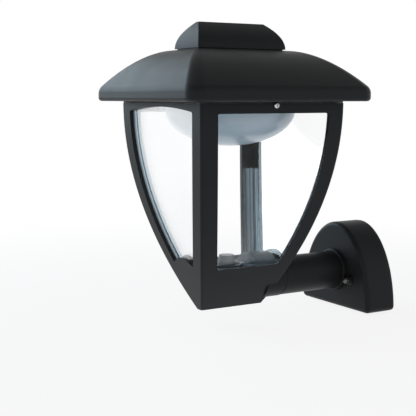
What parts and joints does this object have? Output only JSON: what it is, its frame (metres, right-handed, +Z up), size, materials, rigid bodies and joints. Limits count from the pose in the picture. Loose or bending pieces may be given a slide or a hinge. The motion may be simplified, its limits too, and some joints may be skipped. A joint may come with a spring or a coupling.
{
  "type": "outdoor coach light",
  "caption": "Four-sided wall lantern with parabola-sided windows, a curved hip roof with a raised cap, a hanging bowl, a round arm and a half-oval wall plate.",
  "frame": {"origin": "midway between the two wall screw holes, on the wall plane at the back of the bar", "axes": "+Y into the wall, so the light stands out along -Y; +Z up; +X to the right for someone who faces the wall"},
  "size_m": [0.203, 0.2705, 0.2973],
  "materials": {
    "black_paint": "satin black powder coat on cast aluminium",
    "clear_pane": "clear moulded polycarbonate, slightly blue on edge",
    "opal_bowl": "pale translucent moulded bowl, glossy",
    "white_paint": "white painted sheet steel",
    "pale_plastic": "pale grey moulded plastic",
    "steel": "stainless steel",
    "zinc_steel": "zinc-plated steel",
    "brass": "plain brass",
    "rubber": "soft black rubber",
    "board_white": "white solder-masked board",
    "chip_yellow": "phosphor chips"
  },
  "bodies": {
    "lantern": {"lantern_frame": "black_paint", "arm": "black_paint", "wall_plate": "black_paint", "diffuser": "clear_pane", "wiring_cover": "pale_plastic", "terminal_block": "pale_plastic", "cap_nuts": "steel", "stud_washers": "steel", "wiring_cover_screws": "zinc_steel", "arm_nut": "zinc_steel", "arm_washer": "zinc_steel", "arm_flange_screws": "zinc_steel", "wall_bracket": "zinc_steel", "bracket_studs": "zinc_steel", "earth_screw": "brass", "terminal_screws": "brass", "arm_seal": "rubber", "wall_gasket": "rubber", "cable_grommet": "rubber"},
    "roof_set": {"roof": "black_paint", "roof_cap": "black_paint", "cap_screw": "steel", "roof_gasket": "rubber", "roof_screws": "steel", "gear_tray": "white_paint", "gear_tray_screws": "zinc_steel", "bowl_seal": "rubber", "light_bowl": "opal_bowl", "led_board": "board_white", "led_chips": "chip_yellow", "led_board_screws": "zinc_steel", "led_driver": "pale_plastic", "driver_screws": "zinc_steel"}
  },
  "joints": [
    {"name": "roof_lift", "type": "slide", "parent": "lantern", "child": "roof_set", "axis": [0, 0, 1], "range_m": [0, 0.07]}
  ]
}
